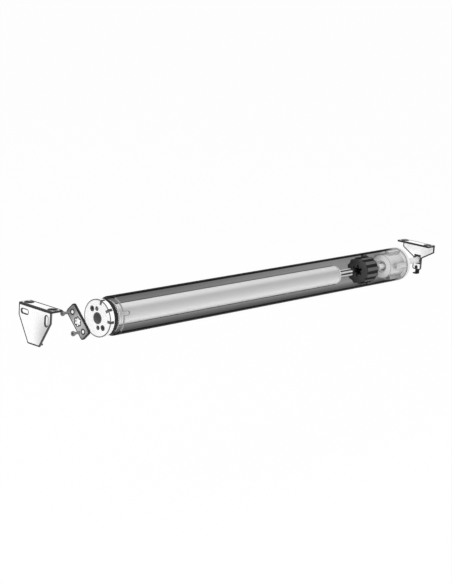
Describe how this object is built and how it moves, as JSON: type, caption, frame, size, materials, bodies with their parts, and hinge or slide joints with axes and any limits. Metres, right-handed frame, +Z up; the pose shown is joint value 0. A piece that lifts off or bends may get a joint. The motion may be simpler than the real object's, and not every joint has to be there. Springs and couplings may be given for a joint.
{
  "type": "tubular roller blind motor",
  "caption": "Battery-powered tubular motor with planetary gearbox inside a roller blind tube, with drive wheel, sprung idler, adapter plate and two end brackets.",
  "frame": {"origin": "on the tube axis, at the outer face of the motor head", "axes": "+X along the tube from the motor head to the idler, +Z up towards the ceiling, -Y towards the viewer (the front)"},
  "size_m": [0.7794, 0.058, 0.053],
  "materials": {
    "white_plastic": "moulded white plastic, semi-gloss",
    "threaded_insert": "blackened steel insert",
    "zinc_screw": "zinc plated",
    "socket_plastic": "black nylon",
    "button_plastic": "translucent light pipe",
    "crown_plastic": "black glass-filled nylon",
    "housing_metal": "satin anodised tube",
    "board_laminate": "green solder mask",
    "component_black": "moulded packages",
    "cradle_plastic": "moulded",
    "cell_wrap": "heat shrink wrap",
    "lead_insulation": "PVC insulation",
    "magnet_ferrite": "sintered ferrite",
    "holder_plastic": "moulded",
    "brush_carbon": "graphite",
    "damper_rubber": "soft rubber",
    "can_steel": "plated steel can",
    "bearing_bronze": "sintered bronze",
    "shaft_steel": "ground",
    "winding_copper": "enamelled copper",
    "core_steel": "laminated core",
    "lining_fibre": "friction lining",
    "pinion_brass": "hobbed",
    "gearbox_zinc": "die cast zinc",
    "planet_acetal": "acetal",
    "carrier_steel": "sintered steel",
    "cap_plastic": "moulded",
    "wheel_plastic": "black nylon",
    "tube_aluminium": "dark anodised, drawn see-through at the front",
    "idler_plastic": "light grey translucent",
    "pin_plastic": "light grey acetal",
    "bracket_paint": "white powder coat",
    "hook_plastic": "black nylon",
    "plate_metal": "brushed, dark"
  },
  "bodies": {
    "motor": {"motor_head": "white_plastic", "screw_inserts": "threaded_insert", "head_screws": "zinc_screw", "charging_socket": "socket_plastic", "crown_collar": "white_plastic", "motor_housing": "housing_metal", "circuit_board": "board_laminate", "board_components": "component_black", "battery_cradle": "cradle_plastic", "battery_cells": "cell_wrap", "power_leads": "lead_insulation", "encoder_board": "board_laminate", "brush_holder": "holder_plastic", "brushes": "brush_carbon", "motor_dampers": "damper_rubber", "motor_can": "can_steel", "field_magnets": "magnet_ferrite", "motor_bushes": "bearing_bronze", "brake_lining": "lining_fibre", "gearbox_plate": "gearbox_zinc", "gear_ring": "gearbox_zinc", "output_bush": "bearing_bronze", "end_cap": "cap_plastic", "right_bracket": "bracket_paint"},
    "rotor": {"rotor_shaft": "shaft_steel", "commutator": "winding_copper", "armature": "core_steel", "rotor_winding": "winding_copper", "brake_disc": "shaft_steel", "encoder_magnet": "magnet_ferrite", "motor_pinion": "pinion_brass"},
    "first_stage": {"first_carrier": "carrier_steel"},
    "second_stage": {"second_carrier": "carrier_steel"},
    "output": {"output_carrier": "carrier_steel", "output_shaft": "shaft_steel", "shaft_circlip": "shaft_steel"},
    "first_planet_a": {"first_planet_a": "planet_acetal"},
    "first_planet_b": {"first_planet_b": "planet_acetal"},
    "first_planet_c": {"first_planet_c": "planet_acetal"},
    "second_planet_a": {"second_planet_a": "planet_acetal"},
    "second_planet_b": {"second_planet_b": "planet_acetal"},
    "second_planet_c": {"second_planet_c": "planet_acetal"},
    "third_planet_a": {"third_planet_a": "planet_acetal"},
    "third_planet_b": {"third_planet_b": "planet_acetal"},
    "third_planet_c": {"third_planet_c": "planet_acetal"},
    "roller": {"roller_tube": "tube_aluminium", "crown": "crown_plastic", "idler_body": "idler_plastic", "idler_bushes": "pin_plastic", "idler_spring": "shaft_steel"},
    "drive_wheel": {"drive_wheel": "wheel_plastic"},
    "idler_pin": {"idler_pin": "pin_plastic", "pin_circlip": "shaft_steel"},
    "retaining_hook": {"retaining_hook": "hook_plastic"},
    "setting_button": {"setting_button": "button_plastic"},
    "left_bracket": {"left_bracket": "bracket_paint", "bracket_stud": "zinc_screw"},
    "adapter_plate": {"adapter_plate": "plate_metal"},
    "plate_screws": {"plate_screws": "zinc_screw"}
  },
  "joints": [
    {"name": "tube_spin", "type": "hinge", "parent": "motor", "child": "roller", "pos_m": [0, 0, 0], "axis": [1, 0, 0], "continuous": true},
    {"name": "output_spin", "type": "hinge", "parent": "motor", "child": "output", "pos_m": [0.48, 0, 0], "axis": [1, 0, 0], "continuous": true},
    {"name": "second_stage_spin", "type": "hinge", "parent": "motor", "child": "second_stage", "pos_m": [0.43, 0, 0], "axis": [1, 0, 0], "continuous": true},
    {"name": "first_stage_spin", "type": "hinge", "parent": "motor", "child": "first_stage", "pos_m": [0.41, 0, 0], "axis": [1, 0, 0], "continuous": true},
    {"name": "rotor_spin", "type": "hinge", "parent": "motor", "child": "rotor", "pos_m": [0.36, 0, 0], "axis": [1, 0, 0], "continuous": true},
    {"name": "third_planet_a_spin", "type": "hinge", "parent": "output", "child": "third_planet_a", "pos_m": [0.4371, 0, 0.0072], "axis": [1, 0, 0], "continuous": true},
    {"name": "third_planet_b_spin", "type": "hinge", "parent": "output", "child": "third_planet_b", "pos_m": [0.4371, -0.00624, -0.0036], "axis": [1, 0, 0], "continuous": true},
    {"name": "third_planet_c_spin", "type": "hinge", "parent": "output", "child": "third_planet_c", "pos_m": [0.4371, 0.00624, -0.0036], "axis": [1, 0, 0], "continuous": true},
    {"name": "second_planet_a_spin", "type": "hinge", "parent": "second_stage", "child": "second_planet_a", "pos_m": [0.4206, 0, 0.0072], "axis": [1, 0, 0], "continuous": true},
    {"name": "second_planet_b_spin", "type": "hinge", "parent": "second_stage", "child": "second_planet_b", "pos_m": [0.4206, -0.00624, -0.0036], "axis": [1, 0, 0], "continuous": true},
    {"name": "second_planet_c_spin", "type": "hinge", "parent": "second_stage", "child": "second_planet_c", "pos_m": [0.4206, 0.00624, -0.0036], "axis": [1, 0, 0], "continuous": true},
    {"name": "first_planet_a_spin", "type": "hinge", "parent": "first_stage", "child": "first_planet_a", "pos_m": [0.4041, 0, 0.0072], "axis": [1, 0, 0], "continuous": true},
    {"name": "first_planet_b_spin", "type": "hinge", "parent": "first_stage", "child": "first_planet_b", "pos_m": [0.4041, -0.00624, -0.0036], "axis": [1, 0, 0], "continuous": true},
    {"name": "first_planet_c_spin", "type": "hinge", "parent": "first_stage", "child": "first_planet_c", "pos_m": [0.4041, 0.00624, -0.0036], "axis": [1, 0, 0], "continuous": true},
    {"name": "drive_wheel_slide", "type": "slide", "parent": "roller", "child": "drive_wheel", "axis": [-1, 0, 0], "range_m": [0, 0.0522]},
    {"name": "idler_pin_press", "type": "slide", "parent": "motor", "child": "idler_pin", "axis": [-1, 0, 0], "range_m": [0, 0.009], "stiffness_N_per_m": 800, "springref_m": -0.01, "deforming": ["idler_spring"]},
    {"name": "retaining_hook_turn", "type": "hinge", "parent": "motor", "child": "retaining_hook", "pos_m": [0.6747, 0, -0.011], "axis": [-1, 0, 0], "range_deg": [0, 60]},
    {"name": "setting_button_press", "type": "slide", "parent": "motor", "child": "setting_button", "axis": [1, 0, 0], "range_m": [0, 0.0006], "stiffness_N_per_m": 1500, "springref_m": -0.0005},
    {"name": "left_bracket_slide", "type": "slide", "parent": "motor", "child": "left_bracket", "axis": [1, 0, 0], "range_m": [0, 0.0875]},
    {"name": "adapter_plate_slide", "type": "slide", "parent": "motor", "child": "adapter_plate", "axis": [1, 0, 0], "range_m": [0, 0.0293]},
    {"name": "plate_screws_slide", "type": "slide", "parent": "motor", "child": "plate_screws", "axis": [1, 0, 0], "range_m": [0, 0.0437]}
  ],
  "couplings": [
    {"joint": "output_spin", "follows": "tube_spin", "ratio": 1},
    {"joint": "second_stage_spin", "follows": "tube_spin", "ratio": 4},
    {"joint": "first_stage_spin", "follows": "tube_spin", "ratio": 16},
    {"joint": "rotor_spin", "follows": "tube_spin", "ratio": 64},
    {"joint": "third_planet_a_spin", "follows": "tube_spin", "ratio": -3},
    {"joint": "third_planet_b_spin", "follows": "tube_spin", "ratio": -3},
    {"joint": "third_planet_c_spin", "follows": "tube_spin", "ratio": -3},
    {"joint": "second_planet_a_spin", "follows": "tube_spin", "ratio": -12},
    {"joint": "second_planet_b_spin", "follows": "tube_spin", "ratio": -12},
    {"joint": "second_planet_c_spin", "follows": "tube_spin", "ratio": -12},
    {"joint": "first_planet_a_spin", "follows": "tube_spin", "ratio": -48},
    {"joint": "first_planet_b_spin", "follows": "tube_spin", "ratio": -48},
    {"joint": "first_planet_c_spin", "follows": "tube_spin", "ratio": -48},
    {"joint": "adapter_plate_slide", "follows": "left_bracket_slide", "ratio": 0.33486},
    {"joint": "plate_screws_slide", "follows": "left_bracket_slide", "ratio": 0.49943}
  ]
}
